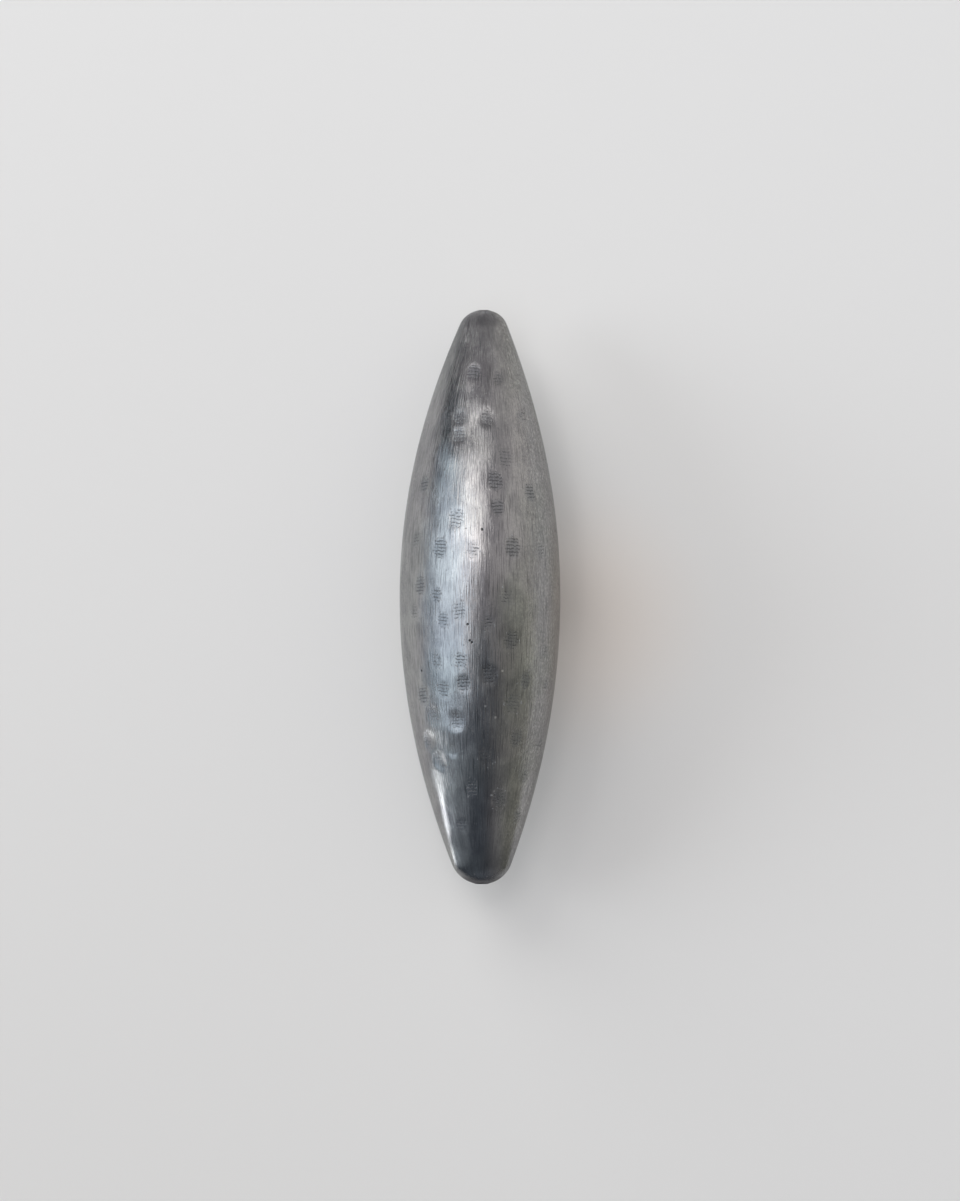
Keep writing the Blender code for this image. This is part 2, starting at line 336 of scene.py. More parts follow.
def shape_section(piece, z, last):
    """Turn the selected ring from the last section's sizes into those of the section at z."""
    middle, half_width, crown, edge = section_sizes(z)
    was_middle, was_half_width, was_crown, was_edge = last
    bpy.ops.transform.resize(
        value=(half_width / was_half_width, 1, 1), center_override=(was_middle, WIDEST_Y, z)
    )
    bpy.ops.transform.translate(value=(middle - was_middle, 0, 0))
    select_points(piece, lambda p: abs(p.z - z) < NEARLY and p.y < WIDEST_Y - NEARLY)
    bpy.ops.transform.resize(value=(1, crown / was_crown, 1), center_override=(0, WIDEST_Y, z))
    select_points(piece, lambda p: abs(p.z - z) < NEARLY and p.y > WIDEST_Y + NEARLY)
    bpy.ops.transform.resize(value=(1, edge / was_edge, 1), center_override=(0, WIDEST_Y, z))
    select_points(piece, lambda p: abs(p.z - z) < NEARLY)
    return middle, half_width, crown, edge


def spindle():
    """The body: a D-shaped ring drawn up from section to section, closed and smoothed."""
    heights = station_heights()
    first = heights[0]
    bpy.ops.mesh.primitive_circle_add(
        vertices=RING_POINTS, radius=HALF_WIDTH, location=(0, WIDEST_Y, first)
    )
    body = name_piece("hammered_spindle")
    settle_place(body)
    bpy.ops.object.mode_set(mode="EDIT")
    select_points(body, lambda p: p.y < WIDEST_Y - NEARLY)
    bpy.ops.transform.resize(
        value=(1, CROWN_DEPTH / HALF_WIDTH, 1), center_override=(0, WIDEST_Y, first)
    )
    select_points(body, lambda p: p.y > WIDEST_Y + NEARLY)
    corner = BACK_EDGE_DEPTH / (HALF_WIDTH * math.sin(math.acos(1 - BACK_EDGE_WIDTH / HALF_WIDTH)))
    bpy.ops.transform.resize(value=(1, corner, 1), center_override=(0, WIDEST_Y, first))
    select_points(body, lambda p: p.y > BACK_Y - NEARLY)
    bpy.ops.transform.resize(value=(1, 0, 1), center_override=(0, BACK_Y, first))
    select_points(body, lambda p: True)
    sizes = (0, HALF_WIDTH, CROWN_DEPTH, BACK_EDGE_DEPTH)
    sizes = shape_section(body, first, sizes)
    for lower, upper in zip(heights, heights[1:]):
        bpy.ops.mesh.extrude_region_move(
            TRANSFORM_OT_translate={"value": (0, 0, upper - lower)}
        )
        sizes = shape_section(body, upper, sizes)
    for end in (heights[0], heights[-1]):
        select_points(body, lambda p: abs(p.z - end) < NEARLY)
        bpy.ops.mesh.edge_face_add()
        bpy.ops.mesh.inset(thickness=END_INSET, depth=0)
    bpy.ops.mesh.select_all(action="SELECT")
    bpy.ops.mesh.normals_make_consistent(inside=False)
    bpy.ops.object.mode_set(mode="OBJECT")
    apply_modifier(body, "SUBSURF", levels=SMOOTHING_LEVELS, render_levels=SMOOTHING_LEVELS)
    fit_to_solid(body)
    return body


def fit_to_solid(body):
    """Stretch the smoothed body by the hair that smoothing took off it, to the solid's box."""
    low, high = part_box("knob_body")
    places = read_places(body)
    was_low, was_high = places.min(axis=0), places.max(axis=0)
    share = (places - was_low) / (was_high - was_low)
    write_places(body, np.array(low) + share * (np.array(high) - np.array(low)))


def read_places(piece):
    """The points' places, one row for each."""
    places = np.empty(3 * len(piece.data.vertices))
    piece.data.vertices.foreach_get("co", places)
    return places.reshape(-1, 3)


def read_normals(piece):
    """The points' outward directions, one row for each."""
    normals = np.empty(3 * len(piece.data.vertices))
    piece.data.vertices.foreach_get("normal", normals)
    return normals.reshape(-1, 3)


def write_places(piece, places):
    """Move the points to these places."""
    piece.data.vertices.foreach_set("co", places.ravel())
    piece.data.update()


def crown_point(across, along):
    """The point on the crown at these shares of the half width and the half length."""
    z = along * HALF_LENGTH
    middle, half_width, crown, _ = section_sizes(z)
    y = WIDEST_Y - crown * math.sqrt(1 - across**2)
    return np.array((middle + half_width * across, y, z))


def add_attribute(piece, name, values):
    """Store one number for each point, for a material to read."""
    attribute = piece.data.attributes.new(name, "FLOAT", "POINT")
    attribute.data.foreach_set("value", values.astype(np.float32))


def strike(body):
    """Hammer the crown: long swells, deeper dents, and marks whose pattern the finish reads."""
    places = read_places(body)
    normals = read_normals(body)
    front = np.clip((WIDEST_Y - places[:, 1]) / FRONT_BLEND, 0, 1)
    swell = np.array([
        noise.noise(Vector((x / SWELL_ACROSS, y / SWELL_ACROSS, z / SWELL_ALONG)))
        for x, y, z in places
    ])
    depth = -SWELL_HEIGHT * swell
    mark = np.zeros(len(places))
    phase = np.zeros(len(places))
    sunk = np.zeros(len(places))
    for across, along, size, deep in DEEP_DENTS:
        _, _, near = nearness(places, across, along, size)
        depth += deep * MM * eased(near)
    for index, (across, along, size, plainness) in enumerate(HAMMER_MARKS):
        sideways, lengthwise, near = nearness(places, across, along, size)
        tilt = HATCH_TILT * math.sin(LEAN_STEP * index + LEAN_START)
        along_hatch = lengthwise * math.cos(tilt) + sideways * math.sin(tilt)
        stronger = near * plainness > mark
        phase[stronger] = along_hatch[stronger] + RIDGE_STEP * index * HATCH_PITCH
        mark = np.maximum(mark, near * plainness)
        sunk = np.maximum(sunk, MARK_DEPTH * size * eased(near))
    depth += sunk
    low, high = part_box("knob_body")
    struck = places - normals * (depth * front)[:, None]
    write_places(body, np.clip(struck, np.array(low), np.array(high)))
    add_attribute(body, "hammer_mark", mark * front)
    add_attribute(body, "hatch_place", phase)
    add_attribute(body, "brush_place", brush_places(places))


def nearness(places, across, along, size):
    """How far each point is from a mark, sideways and lengthwise, and its nearness: 1 to 0."""
    offset = places - crown_point(across, along)
    sideways = np.hypot(offset[:, 0], offset[:, 1]) * np.sign(offset[:, 0])
    lengthwise = offset[:, 2]
    reach = (
        np.abs(lengthwise / (MARK_LENGTH / 2 * size)) ** MARK_SQUARENESS
        + np.abs(sideways / (MARK_WIDTH / 2 * size)) ** MARK_SQUARENESS
    )
    return sideways, lengthwise, np.clip(1 - reach, 0, 1)


def eased(share):
    """Rise from 0 to 1 with a soft start and a soft end."""
    return share**2 * (3 - 2 * share)


def brush_places(places):
    """How far round the body each point lies, so that brush lines run from tip to tip."""
    sizes = np.array([section_sizes(z) for z in np.clip(places[:, 2], -HALF_LENGTH, HALF_LENGTH)])
    middle, half_width, crown, _ = sizes.T
    across = (places[:, 0] - middle) / half_width
    forward = (WIDEST_Y - places[:, 1]) / crown
    quarter_turn = math.pi / 2
    turn = np.where(forward > 0, np.arctan2(across, forward), across * quarter_turn)
    return turn * BRUSH_RADIUS


def bore_socket(body):
    """The hole in the back that takes the stem's spigot."""
    length = 2 * (BACK_Y - SOCKET_END_Y)
    deselect_all()
    bpy.ops.mesh.primitive_cylinder_add(
        vertices=SOCKET_SEGMENTS,
        radius=SOCKET_RADIUS,
        depth=length,
        location=(0, BACK_Y, 0),
        rotation=(math.pi / 2, 0, 0),
    )
    drill = name_piece("drill")
    apply_modifier(body, "BOOLEAN", operation="DIFFERENCE", solver="EXACT", object=drill)
    bpy.data.objects.remove(drill)


def turned_piece(name, profile, segments):
    """Draw a profile of (radius, y) points and spin it once round the Y axis."""
    deselect_all()
    bpy.ops.mesh.primitive_plane_add(size=MM, location=(*profile[0], 0))
    piece = name_piece(name)
    settle_place(piece)
    bpy.ops.object.mode_set(mode="EDIT")
    bpy.ops.mesh.merge(type="CENTER")
    for (radius, y), (next_radius, next_y) in zip(profile, profile[1:]):
        bpy.ops.mesh.extrude_region_move(
            TRANSFORM_OT_translate={"value": (next_radius - radius, next_y - y, 0)}
        )
    bpy.ops.mesh.select_all(action="SELECT")
    bpy.ops.mesh.spin(steps=segments, angle=math.tau, center=(0, 0, 0), axis=(0, 1, 0))
    bpy.ops.mesh.select_all(action="SELECT")
    bpy.ops.mesh.remove_doubles(threshold=WELD)
    bpy.ops.mesh.normals_make_consistent(inside=False)
    bpy.ops.object.mode_set(mode="OBJECT")
    return piece


def rounded(corners, radius, steps=4):
    """Round every inner corner of a profile with a small arc-like curve."""
    points = [corners[0]]
    for before, corner, after in zip(corners, corners[1:], corners[2:]):
        here = Vector(corner)
        back = Vector(before) - here
        forward = Vector(after) - here
        reach = min(radius, back.length / 2, forward.length / 2)
        first = here + back.normalized() * reach
        last = here + forward.normalized() * reach
        for i in range(steps + 1):
            share = i / steps
            onward = first.lerp(here, share).lerp(here.lerp(last, share), share)
            points.append(tuple(onward))
    return points + [corners[-1]]


def cove(first, last, narrowest, steps=20):
    """A waist between two (radius, y) points that narrows to one radius in the middle."""
    points = []
    for i in range(steps + 1):
        share = i / steps
        end_radius = first[0] if share < 0.5 else last[0]
        radius = narrowest + (end_radius - narrowest) * (1 - 2 * min(share, 1 - share)) ** 2
        y = first[1] + (last[1] - first[1]) * (1 - math.cos(math.pi * share)) / 2
        points.append((radius, y))
    return points


def turned_stem():
    """Foot on the door, waisted neck, shoulder under the body, and the spigot in its socket."""
    bore = [
        (0, BORE_POINT_Y), (BORE_RADIUS, BORE_SIDE_END_Y),
        (BORE_RADIUS, -SOFT_EDGE), (BORE_RADIUS + SOFT_EDGE, 0),
    ]
    foot = [(FOOT_RADIUS, 0), (FOOT_RADIUS, -FOOT_THICKNESS)]
    waist = cove(
        (FOOT_RADIUS - WAIST_STEP, -FOOT_THICKNESS),
        (SHOULDER_RADIUS - WAIST_STEP, SHOULDER_Y),
        NECK_RADIUS,
    )
    shoulder = [(SHOULDER_RADIUS, SHOULDER_Y), (SHOULDER_RADIUS, BACK_Y)]
    spigot = [(SPIGOT_RADIUS, BACK_Y), (SPIGOT_RADIUS, SPIGOT_END_Y), (0, SPIGOT_END_Y)]
    outer = rounded([bore[-1], *foot, waist[0]], SOFT_EDGE)
    inner = rounded([waist[-1], *shoulder, *spigot], SOFT_EDGE)
    return turned_piece("turned_stem", bore + outer[1:-1] + waist + inner[1:], STEM_SEGMENTS)


def threaded_screw():
    """Machine screw with a spiral thread, a domed head and a tapered cross recess."""
    rows = round((HEAD_Y - SCREW_TIP_Y) / THREAD_PITCH * ROWS_PER_TURN)
    shank = []
    for i in range(rows + 1):
        from_tip = (HEAD_Y - SCREW_TIP_Y) * i / rows
        shank.append((SCREW_RADIUS - max(0, SCREW_LEAD - from_tip), SCREW_TIP_Y + from_tip))
    rim_y = HEAD_Y + HEAD_RIM
    top_y = HEAD_Y + HEAD_HEIGHT
    head = [
        (HEAD_RADIUS - HEAD_EDGE, HEAD_Y),
        (HEAD_RADIUS, HEAD_Y + HEAD_EDGE),
        (HEAD_RADIUS, rim_y),
    ]
    for i in range(1, DOME_STEPS):
        turn = math.pi / 2 * i / DOME_STEPS
        head.append((HEAD_RADIUS * math.cos(turn), rim_y + (top_y - rim_y) * math.sin(turn)))
    profile = [(0, SCREW_TIP_Y), *shank, *head, (0, top_y)]
    screw = turned_piece("threaded_screw", profile, SCREW_SEGMENTS)
    cut_thread(screw)
    for turned in (False, True):
        cut_recess(screw, top_y, turned)
    return screw


def cut_thread(screw):
    """Draw the shank in along a spiral V that fades out towards both ends of the thread."""
    places = read_places(screw)
    x, y, z = places.T
    turn = (y / THREAD_PITCH + np.arctan2(z, x) / math.tau) % 1
    valley = np.clip(THREAD_STEEPNESS * np.abs(2 * turn - 1) - THREAD_CREST_FLAT, 0, 1)
    fade_out = np.clip((THREAD_END_Y - y) / (2 * THREAD_PITCH), 0, 1)
    fade_in = np.clip((y - SCREW_TIP_Y) / SOFT_EDGE, 0, 1)
    radius = np.hypot(x, z)
    narrower = radius - THREAD_DEPTH * valley * fade_out * fade_in
    share = np.where(radius > 0, narrower / np.maximum(radius, THREAD_DEPTH), 1)
    write_places(screw, np.stack((x * share, y, z * share), axis=1))


def cut_recess(screw, top_y, turned):
    """One arm of the cross recess, narrower towards its bottom."""
    deselect_all()
    bpy.ops.mesh.primitive_cube_add(size=1, location=(0, top_y, 0))
    arm = name_piece("recess_arm")
    across, along = (RECESS_SPAN, RECESS_WIDTH) if turned else (RECESS_WIDTH, RECESS_SPAN)
    arm.scale = (across, 2 * RECESS_DEPTH, along)
    settle_place(arm)
    bpy.ops.object.mode_set(mode="EDIT")
    select_points(arm, lambda p: p.y < top_y)
    shares = (RECESS_WIDTH_SHARE, 1, RECESS_SPAN_SHARE)
    narrower = shares[::-1] if turned else shares
    bpy.ops.transform.resize(value=narrower, center_override=(0, top_y, 0))
    bpy.ops.object.mode_set(mode="OBJECT")
    apply_modifier(screw, "BOOLEAN", operation="DIFFERENCE", solver="EXACT", object=arm)
    bpy.data.objects.remove(arm)


def smooth_shading(piece, degrees):
    """Shade the piece smoothly, apart from edges that are sharper than this angle."""
    deselect_all()
    piece.select_set(True)
    bpy.context.view_layer.objects.active = piece
    bpy.ops.object.shade_smooth_by_angle(angle=math.radians(degrees))


class Value:
    """A number or colour that changes over a surface. Arithmetic on it adds Math nodes."""

    def __init__(self, finish, socket):
        self.finish = finish
        self.socket = socket

    def math(self, operation, *inputs):
        return self.finish.node("ShaderNodeMath", {"operation": operation}, dict(enumerate(inputs)))

    def __add__(self, other):
        return self.math("ADD", self, other)

    def __sub__(self, other):
        return self.math("SUBTRACT", self, other)

    def __rsub__(self, other):
        return self.math("SUBTRACT", other, self)

    def __mul__(self, other):
        return self.math("MULTIPLY", self, other)

    def __truediv__(self, other):
        return self.math("DIVIDE", self, other)

    __radd__ = __add__
    __rmul__ = __mul__

    def sine(self):
        return self.math("SINE", self)

    def step(self, low, high, first=0.0, last=1.0):
        """Go smoothly from first to last while this value goes from low to high."""
        return self.finish.node(
            "ShaderNodeMapRange",
            {"interpolation_type": "SMOOTHSTEP"},
            {"Value": self, "From Min": low, "From Max": high, "To Min": first, "To Max": last},
        )


class Finish:
    """A material, or the world, being built from nodes."""

    def __init__(self, owner):
        owner.use_nodes = True
        self.tree = owner.node_tree

    def node(self, kind, settings=None, inputs=None, output=0):
        made = self.tree.nodes.new(kind)
        for key, value in (settings or {}).items():
            setattr(made, key, value)
        for key, value in (inputs or {}).items():
            self.feed(made.inputs[key], value)
        return Value(self, made.outputs[output])

    def feed(self, socket, value):
        if isinstance(value, Value):
            self.tree.links.new(value.socket, socket)
        else:
            socket.default_value = value

    def place(self):
        return self.node("ShaderNodeTexCoord", output="Object")

    def attribute(self, name):
        return self.node("ShaderNodeAttribute", {"attribute_name": name}, output="Fac")

    def stretched(self, vector, across, along):
        """The place on the object, with one unit of the pattern this long across and along Z."""
        return self.node(
            "ShaderNodeMapping",
            {"vector_type": "POINT"},
            {"Vector": vector, "Scale": (1 / across, 1 / across, 1 / along)},
        )

    def noise(self, vector, detail=2.0, roughness=0.5, distortion=0.0):
        """Soft random patches from 0 to 1, about one unit of the vector wide."""
        return self.node(
            "ShaderNodeTexNoise",
            {"noise_dimensions": "3D"},
            {
                "Vector": vector, "Scale": 1.0, "Detail": detail,
                "Roughness": roughness, "Distortion": distortion,
            },
        )

    def distance(self, first, second):
        return self.node(
            "ShaderNodeVectorMath", {"operation": "DISTANCE"}, {0: first, 1: second}, output="Value"
        )

    def mix(self, share, first, second):
        """Mix two colours, which are the node's inputs 6 and 7; the mixed colour is output 2."""
        colors = [(*c, 1.0) if isinstance(c, tuple) else c for c in (first, second)]
        return self.node(
            "ShaderNodeMix",
            {"data_type": "RGBA"},
            {"Factor": share, 6: colors[0], 7: colors[1]},
            output=2,
        )

    def bump(self, height, distance):
        return self.node(
            "ShaderNodeBump", None, {"Height": height, "Distance": distance, "Strength": 1.0}
        )

    def axes(self, vector):
        """The three parts of a place or a direction."""
        split = self.node("ShaderNodeSeparateXYZ", None, {"Vector": vector}).socket.node
        return [Value(self, part) for part in split.outputs]


def new_finish(name):
    """A new material, its nodes and its main shader."""
    material = bpy.data.materials.new(name)
    finish = Finish(material)
    shader = finish.tree.nodes["Principled BSDF"]
    return material, finish, shader


def spots(finish, place, centres):
    """1 in a small spot round each place on the crown, 0 elsewhere."""
    spotted = 0.0
    for across, along in centres:
        centre = tuple(crown_point(across, along))
        spotted = finish.distance(place, centre).step(SPOT_RADIUS, SPOT_RADIUS / 2) + spotted
    return spotted


def hammered_iron():
    """Dark pewter-grey metal, brushed lengthwise, with ridged hammer marks, a mottled patina and
    painted shade.
    """
    material, finish, shader = new_finish("hammered_iron")
    place = finish.place()
    height_on_body = finish.axes(place)[2]
    round_body = finish.attribute("brush_place")
    mark = finish.attribute("hammer_mark")
    hatch = finish.attribute("hatch_place")

    brushing = finish.node(
        "ShaderNodeCombineXYZ", None, {"X": round_body, "Z": height_on_body}
    )
    fine = finish.noise(finish.stretched(brushing, *FINE_LINES), detail=2.0, roughness=0.65)
    broad = finish.noise(finish.stretched(brushing, *BROAD_LINES), detail=2.0)
    grain = finish.noise(finish.stretched(place, *GRAIN), detail=2.0)
    grit = finish.noise(finish.stretched(place, *GRIT), detail=1.0)
    mottle = finish.noise(finish.stretched(place, *MOTTLE), detail=3.0, distortion=0.8)
    tint = finish.noise(finish.stretched(place, *TINT), detail=1.0)
    breaks = finish.noise(finish.stretched(place, *RIDGE_BREAKS), detail=1.0)

    # The marks have ragged edges, and their ridges waver and break off
    ragged = mark + (grain - 0.5) * 1.5 + (fine - 0.5) * 0.6
    struck = ragged.step(0.18, 0.60)
    turns = (hatch / HATCH_PITCH + (grain - 0.5) * 0.9 + (broad - 0.5) * 0.9) * math.tau
    groove = turns.sine().step(0.20, 0.90) * struck * breaks.step(0.30, 0.42)
    pitted = spots(finish, place, DARK_PITS)

    # The relief: brushed all over but the lower tip, and sandy towards both sides
    tip = height_on_body.step(*LOW_TIP)
    brushed = 1 - tip * 0.75
    sandy = round_body.step(*SANDY_RIGHT) + round_body.step(*SANDY_LEFT) * 0.7
    lines = fine * brushed * FINE_LINE_HEIGHT + broad * brushed * BROAD_LINE_HEIGHT
    height = lines + grain * (GRAIN_HEIGHT + sandy * SANDY_GRAIN_HEIGHT)
    sunk = groove * RIDGE_HEIGHT + pitted * PIT_DEPTH
    finish.feed(shader.inputs["Normal"], finish.bump(height - sunk, MM))

    # The colours, one over the other
    grey = finish.mix(mottle.step(0.34, 0.66), (0.30, 0.305, 0.31), (0.42, 0.425, 0.42))
    # Painted shade: darker and greener towards the right side, standing in for the shadowed door
    # that the metal mirrors there
    shaded_right_side = finish.mix(round_body.step(*SHADED_GREEN_SIDE) * 0.6, grey, (0.295, 0.288, 0.262))
    tinted = finish.mix(tint.step(0.40, 0.62) * 0.3, shaded_right_side, (0.37, 0.35, 0.375))
    rough = 0.18 + sandy * 0.8
    flecked = finish.mix(grit.step(0.56, 0.66) * rough * 0.6, tinted, (0.54, 0.54, 0.51))
    gritty = finish.mix(grit.step(0.44, 0.34) * rough * 0.48, flecked, (0.17, 0.17, 0.165))
    streaked = finish.mix(fine.step(0.50, 0.34) * 0.65, gritty, (0.14, 0.14, 0.145))
    worn = finish.mix(mark.step(0.1, 0.8) * 0.38, streaked, (0.16, 0.18, 0.20))
    lined = finish.mix(groove * 0.66, worn, (0.08, 0.08, 0.085))
    # Painted shade: darker towards the lower end, from the middle to the right side
    painted_low_shade = height_on_body.step(*LOW_SHADE_HEIGHT) * round_body.step(*LOW_SHADE_SIDE)
    shaded = finish.mix(painted_low_shade * 0.42, lined, (0.15, 0.155, 0.165))
    # Painted shade: the very end of the lower tip darkened, in place of a bright mirrored rim
    painted_end_shade = height_on_body.step(*END_SHADE_HEIGHT) * 0.75
    end_shaded = finish.mix(painted_end_shade, shaded, (0.09, 0.09, 0.095))
    dark_pits = finish.mix(pitted, end_shaded, (0.06, 0.06, 0.06))
    specks = spots(finish, place, BRIGHT_SPECKS)
    finish.feed(shader.inputs["Base Color"], finish.mix(specks, dark_pits, (0.70, 0.70, 0.68)))
    roughness = 0.11 + fine * 0.10 + grain * 0.04 + struck * 0.06 - tip * 0.03
    finish.feed(shader.inputs["Roughness"], roughness)
    shader.inputs["Metallic"].default_value = 1.0
    shader.inputs["Specular Tint"].default_value = (0.8, 0.8, 0.8, 1.0)
    return material


def turned_brass():
    """Brass with fine turning rings and a little tarnish."""
    material, finish, shader = new_finish("turned_brass")
    place = finish.place()
    scaled = finish.node("ShaderNodeMapping", None, {"Vector": place, "Scale": RING_SCALE})
    rings = finish.noise(scaled, detail=2.0)
    tarnish = finish.noise(finish.stretched(place, *TARNISH), detail=3.0)
    color = finish.mix(tarnish.step(0.35, 0.7), (0.80, 0.58, 0.27), (0.66, 0.45, 0.20))
    finish.feed(shader.inputs["Base Color"], color)
    finish.feed(shader.inputs["Roughness"], 0.20 + rings * 0.14)
    finish.feed(shader.inputs["Normal"], finish.bump(rings * RING_HEIGHT, MM))
    shader.inputs["Metallic"].default_value = 1.0
    return material


def zinc_plating():
    """Bright zinc with a faint yellow bloom."""
    material, finish, shader = new_finish("zinc_plated_steel")
    place = finish.place()
    grain = finish.noise(finish.stretched(place, *ZINC_GRAIN), detail=3.0)
    bloom = finish.noise(finish.stretched(place, *ZINC_BLOOM), detail=1.0)
    color = finish.mix(bloom.step(0.35, 0.65), (0.60, 0.61, 0.62), (0.56, 0.57, 0.50))
    finish.feed(shader.inputs["Base Color"], color)
    finish.feed(shader.inputs["Roughness"], 0.22 + grain * 0.16)
    shader.inputs["Metallic"].default_value = 1.0
    return material


def give_finish(piece, material):
    """Make this the piece's only material."""
    piece.data.materials.clear()
    piece.data.materials.append(material)


def direction(azimuth, elevation):
    """A direction seen from the knob: azimuth 0 is straight out of the door, + to the right."""
    a, e = math.radians(azimuth), math.radians(elevation)
    return Vector((math.sin(a) * math.cos(e), -math.cos(a) * math.cos(e), math.sin(e)))


def window(name, azimuth, elevation, size, roll, radiance, color, distance=LAMP_DISTANCE):
    """A soft lamp that faces the knob; size is the degrees that it covers, across and up."""
    lamp = bpy.data.lights.new(name, "AREA")
    lamp.shape = "RECTANGLE"
    lamp.size = 2 * distance * math.tan(math.radians(size[0] / 2))
    lamp.size_y = 2 * distance * math.tan(math.radians(size[1] / 2))
    lamp.energy = radiance * math.pi * lamp.size * lamp.size_y
    lamp.color = color
    made = hang_lamp(lamp, direction(azimuth, elevation), distance)
    made.rotation_quaternion @= Quaternion((0, 0, 1), math.radians(roll))
    return made


def daylight(name, azimuth, elevation, spread, strength, color):
    """Soft light from far away; spread is the degrees that it covers."""
    lamp = bpy.data.lights.new(name, "SUN")
    lamp.angle = math.radians(spread)
    lamp.energy = strength
    lamp.color = color
    return hang_lamp(lamp, direction(azimuth, elevation), LAMP_DISTANCE)


def hang_lamp(lamp, towards, distance):
    """Put a lamp in that direction from the knob, facing it."""
    made = bpy.data.objects.new(lamp.name, lamp)
    bpy.context.collection.objects.link(made)
    made.location = towards * distance
    made.rotation_mode = "QUATERNION"
    made.rotation_quaternion = towards.to_track_quat("Z", "Y")
    made.visible_camera = False
    return made


def room():
    """The world: a dim room in front of the door, darker below, and a pale wall behind it."""
    world = bpy.data.worlds.new("room")
    bpy.context.scene.world = world
    finish = Finish(world)
    right, back, up = finish.axes(finish.node("ShaderNodeTexCoord", output="Generated"))
    below = up.step(-0.70, -0.10, 0.16, 0.42)
    above = up.step(0.0, 0.4, 0.0, 0.18)
    level = below + above - up.step(0.58, 0.70, 0.0, 0.28) * right.step(0.25, 0.6, 1.0, 0.6)
    low_right = (right - up * 1.35 - 1.21).step(-0.04, 0.05) * 0.13
    corner = right.step(0.45, 0.75) * up.step(-0.3, -0.5)
    sided = (level + low_right) * right.step(0.1, 0.85, 0.74, 1.22) * (1 - corner * 0.28)
    upper_left_shade = right.step(-0.5, -0.7) * up.step(0.24, 0.42) * up.step(0.80, 0.55)
    right_band = right.step(0.52, 0.64) * right.step(0.96, 0.91)
    lower_right_shade = right_band * up.step(-0.14, -0.22) * up.step(-0.46, -0.40)
    front = sided * (1 - upper_left_shade * 0.88) * (1 - lower_right_shade * 0.32)
    wall = right.step(-1, 1, 0.66, 0.50)
    behind = back.step(-0.15, 0.1)
    strength = front * (1 - behind) + wall * behind
    seen = finish.node("ShaderNodeLightPath", output="Is Camera Ray")
    shown = strength * (1 - seen) + seen * SEEN_TONE
    cool = finish.mix(up.step(-0.1, -0.6), (1.01, 0.975, 1.035), (0.82, 0.94, 1.12))
    plum = finish.mix(right.step(0.0, 0.35) * 0.8, cool, (1.03, 0.97, 0.98))
    warmth = right.step(0.3, 0.8) * up.step(0.3, -0.1, 0.4, 1.0)
    hue = finish.mix(warmth, plum, (1.01, 1.0, 0.895))
    paper = finish.mix(seen, hue, (1.0, 1.0, 1.0))
    background = finish.tree.nodes["Background"]
    finish.feed(background.inputs["Strength"], shown)
    finish.feed(background.inputs["Color"], paper)


def door():
    """The pale backdrop: the door behind the knob, swept forward into a floor far below it."""
    deselect_all()
    bpy.ops.mesh.primitive_plane_add(size=2 * DOOR_HALF_WIDTH, rotation=(math.pi / 2, 0, 0))
    sheet = name_piece("pale_door")
    settle_place(sheet)
    bpy.ops.object.mode_set(mode="EDIT")
    select_points(sheet, lambda p: p.z > 0)
    bpy.ops.transform.translate(value=(0, 0, DOOR_TOP - DOOR_HALF_WIDTH))
    select_points(sheet, lambda p: p.z < 0)
    bpy.ops.transform.translate(value=(0, 0, DOOR_FOOT + DOOR_HALF_WIDTH))
    bpy.ops.mesh.extrude_region_move(TRANSFORM_OT_translate={"value": (0, -FLOOR_REACH, 0)})
    bpy.ops.object.mode_set(mode="OBJECT")
    apply_modifier(
        sheet,
        "BEVEL",
        width=SWEEP_RADIUS,
        segments=SWEEP_SEGMENTS,
        limit_method="ANGLE",
        affect="EDGES",
    )
    smooth_shading(sheet, 60)
    material, finish, shader = new_finish("pale_paint")
    place = finish.place()
    glow = finish.distance(place, GLOW_PLACE).step(GLOW_RADIUS, GLOW_CORE)
    across, _, along = finish.axes(place)
    # Painted light: the door lighter towards the top and towards the right, as light falls on it
    painted_top_light = along.step(-0.16, 0.16)
    paint = finish.mix(painted_top_light, (0.69, 0.69, 0.678), (0.72, 0.725, 0.72))
    rightward = across.step(-0.1, 0.15)
    painted_right_light = finish.mix(rightward * 0.35, paint, (0.87, 0.88, 0.875))
    painted = finish.mix(glow * 0.55, painted_right_light, (0.78, 0.685, 0.60))
    finish.feed(shader.inputs["Base Color"], painted)
    shader.inputs["Roughness"].default_value = 0.9
    shader.inputs["Specular IOR Level"].default_value = 0.0
    shader.inputs["Emission Color"].default_value = (1.0, 1.0, 1.0, 1.0)
    shader.inputs["Emission Strength"].default_value = 0.08
    behind = finish.node("ShaderNodeNewGeometry", output="Backfacing")
    clear = finish.node("ShaderNodeBsdfTransparent")
    mixed = finish.node(
        "ShaderNodeMixShader", None, {0: behind, 1: Value(finish, shader.outputs[0]), 2: clear}
    )
    finish.feed(finish.tree.nodes["Material Output"].inputs["Surface"], mixed)
    give_finish(sheet, material)


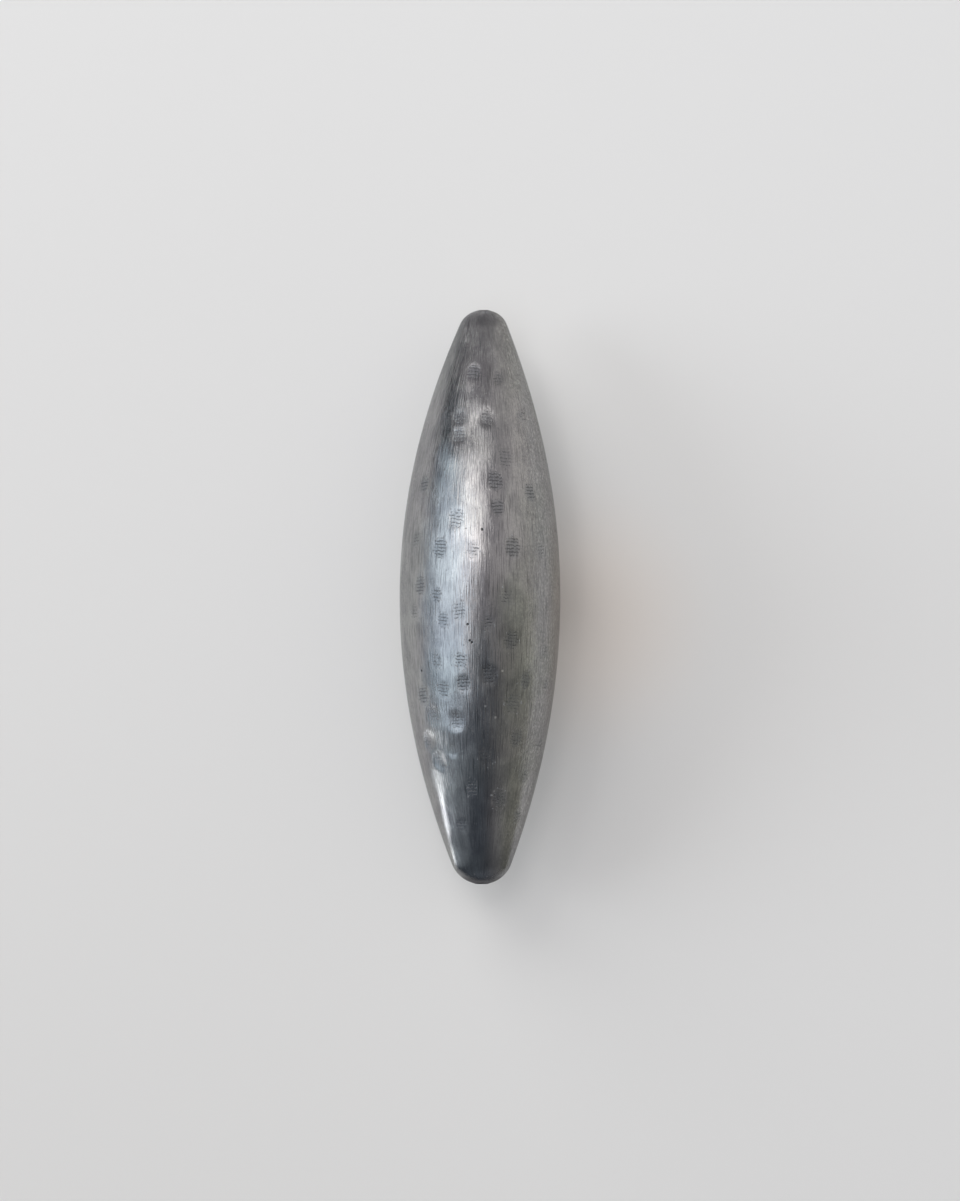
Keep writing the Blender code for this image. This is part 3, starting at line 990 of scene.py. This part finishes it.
def camera():
    """The photograph's view: square to the door, level with the picture's middle."""
    lens = bpy.data.cameras.new("photograph_view")
    lens.sensor_width = SENSOR
    lens.lens = SENSOR * CAMERA_DISTANCE / (PHOTO_HEIGHT * METRES_PER_PIXEL)
    lens.clip_start = CLIP_START
    view = bpy.data.objects.new("photograph_view", lens)
    bpy.context.collection.objects.link(view)
    below_middle = (BODY_MIDDLE_ROW - PHOTO_HEIGHT / 2) * METRES_PER_PIXEL
    view.location = (0, WIDEST_Y - CAMERA_DISTANCE, below_middle)
    view.rotation_euler = (math.pi / 2, 0, 0)
    bpy.context.scene.camera = view


def lights():
    """The windows that the metal mirrors, and the softer light that falls on the door."""
    # The metal shows this window, and the door is lit without it, or the shadow would be too dark
    tall_window = window("tall_window", -46.5, 1, (46, 59), 0, 1.27, (0.76, 0.89, 1.0))
    tall_window.visible_diffuse = False
    window("window_edge", -19, -2, (9, 54), 0, 0.92, (1.0, 0.95, 0.94))
    window("open_sky", -33, 12, (28, 26), 0, 0.60, (0.92, 0.96, 1.0))
    window("sunlit_pane", -14, 26.5, (32, 15), -20, 1.75, (1.0, 0.96, 0.93))
    window("pane_top", -6, 34.5, (18, 7), -15, 1.6, (1.0, 0.96, 0.93))
    window("window_side", -8, -6, (22, 44), 0, 0.20, (0.95, 0.97, 1.0))
    window("low_glow", -79, -2, (22, 38), 0, 0.34, (0.58, 0.84, 1.0))
    window("low_strip", -86, -31, (7, 8), 0, 5.0, (0.95, 0.98, 1.0), distance=0.6)
    window("low_left", -66, -34, (26, 10), 0, 0.35, (0.88, 0.95, 1.0))
    window("low_front", -46, -38, (36, 12), 0, 0.18, (0.88, 0.95, 1.0))
    # These two light the door, and the metal doesn't mirror them
    for wall_lamp in (
        window("wall_wash", -51, 50, (36, 34), 0, 4.8, (1.0, 0.985, 0.965)),
        daylight("side_daylight", -76, 6, 30, 1.85, (0.93, 0.96, 1.0)),
    ):
        wall_lamp.visible_glossy = False


deselect_all()
camera()
room()
lights()
door()

spindle_piece = spindle()
strike(spindle_piece)
bore_socket(spindle_piece)
smooth_shading(spindle_piece, 40)
give_finish(spindle_piece, hammered_iron())
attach(spindle_piece, "root")
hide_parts("knob_body")

stem_piece = turned_stem()
smooth_shading(stem_piece, 30)
give_finish(stem_piece, turned_brass())
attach(stem_piece, "root")
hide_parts("stem")

screw_piece = threaded_screw()
smooth_shading(screw_piece, 30)
give_finish(screw_piece, zinc_plating())
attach(screw_piece, "root")
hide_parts("fixing_screw")

bpy.context.scene.view_settings.view_transform = "Standard"
